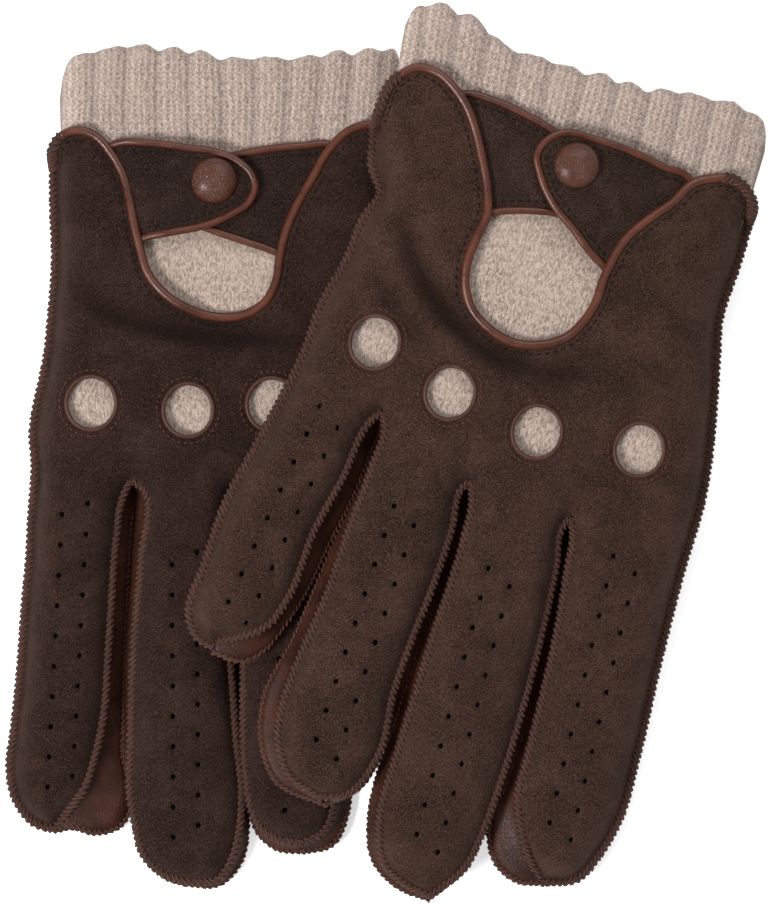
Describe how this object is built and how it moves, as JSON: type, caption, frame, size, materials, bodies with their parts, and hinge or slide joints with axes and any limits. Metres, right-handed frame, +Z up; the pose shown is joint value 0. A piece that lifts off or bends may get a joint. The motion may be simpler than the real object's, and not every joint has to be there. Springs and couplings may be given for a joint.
{
  "type": "driving gloves",
  "caption": "Knit-lined suede driving gloves laid palm down, one across the other, with bound wrist openings, snap tabs, open knuckle holes and rib-knit cuffs.",
  "frame": {"origin": "centre of the pair's outline in plan, at the surface that the pair lies on", "axes": "+X from the left glove towards the right glove, +Y from the fingertips towards the cuffs, +Z up out of the gloves' backs"},
  "size_m": [0.2068, 0.2415, 0.0393],
  "materials": {
    "suede": "napped suede",
    "smooth_leather": "smooth, satin",
    "binding": "smooth, slight gloss",
    "cap_leather": "smooth, slight gloss",
    "lining_knit": "fine heather knit",
    "rib_knit": "heather rib knit",
    "thread": "waxed thread",
    "snap_metal": "satin"
  },
  "bodies": {
    "left_glove": {"left_back_panel": "suede", "left_palm_panel": "smooth_leather", "left_fourchette_index_middle": "smooth_leather", "left_fourchette_middle_ring": "smooth_leather", "left_fourchette_ring_little": "smooth_leather", "left_lining_back": "lining_knit", "left_lining_palm": "lining_knit", "left_rib_cuff": "rib_knit", "left_wrist_binding": "binding", "left_knuckle_hole_facings": "binding", "left_back_seam_thread": "thread", "left_palm_seam_thread": "thread", "left_thumb": "smooth_leather", "left_thumb_lining": "lining_knit", "left_thumb_quirk": "smooth_leather", "left_over_tab_root": "suede", "left_under_tab_root": "suede"},
    "left_over_tab_body": {"left_over_tab": "suede", "left_over_tab_binding": "binding", "left_snap_cap": "cap_leather", "left_snap_socket": "snap_metal"},
    "left_under_tab_body": {"left_under_tab": "suede", "left_under_tab_binding": "binding", "left_snap_stud": "snap_metal", "left_snap_post": "snap_metal"},
    "right_glove": {"right_back_panel": "suede", "right_palm_panel": "smooth_leather", "right_fourchette_index_middle": "smooth_leather", "right_fourchette_middle_ring": "smooth_leather", "right_fourchette_ring_little": "smooth_leather", "right_lining_back": "lining_knit", "right_lining_palm": "lining_knit", "right_rib_cuff": "rib_knit", "right_wrist_binding": "binding", "right_knuckle_hole_facings": "binding", "right_back_seam_thread": "thread", "right_palm_seam_thread": "thread", "right_thumb": "smooth_leather", "right_thumb_lining": "lining_knit", "right_thumb_quirk": "smooth_leather", "right_over_tab_root": "suede", "right_under_tab_root": "suede"},
    "right_over_tab_body": {"right_over_tab": "suede", "right_over_tab_binding": "binding", "right_snap_cap": "cap_leather", "right_snap_socket": "snap_metal"},
    "right_under_tab_body": {"right_under_tab": "suede", "right_under_tab_binding": "binding", "right_snap_stud": "snap_metal", "right_snap_post": "snap_metal"}
  },
  "joints": [
    {"name": "right_glove_lift", "type": "slide", "parent": "left_glove", "child": "right_glove", "axis": [0, 0, 1], "range_m": [0, 0.12]},
    {"name": "left_over_tab_hinge", "type": "hinge", "parent": "left_glove", "child": "left_over_tab_body", "pos_m": [-0.0689, 0.07, 0.02335], "axis": [0.3137, -0.948, 0.0529], "range_deg": [0, 120]},
    {"name": "left_under_tab_hinge", "type": "hinge", "parent": "left_glove", "child": "left_under_tab_body", "pos_m": [-0.0263, 0.0691, 0.01773], "axis": [0.4194, 0.9056, -0.0638], "range_deg": [0, 36]},
    {"name": "right_over_tab_hinge", "type": "hinge", "parent": "right_glove", "child": "right_over_tab_body", "pos_m": [0.06732, 0.06358, 0.02893], "axis": [0.6935, 0.7091, -0.1274], "range_deg": [0, 120]},
    {"name": "right_under_tab_hinge", "type": "hinge", "parent": "right_glove", "child": "right_under_tab_body", "pos_m": [0.0273, 0.07902, 0.03188], "axis": [0.1945, -0.9807, 0.0209], "range_deg": [0, 36]}
  ],
  "couplings": [
    {"joint": "left_under_tab_hinge", "follows": "left_over_tab_hinge", "ratio": 0.3},
    {"joint": "right_under_tab_hinge", "follows": "right_over_tab_hinge", "ratio": 0.3}
  ]
}
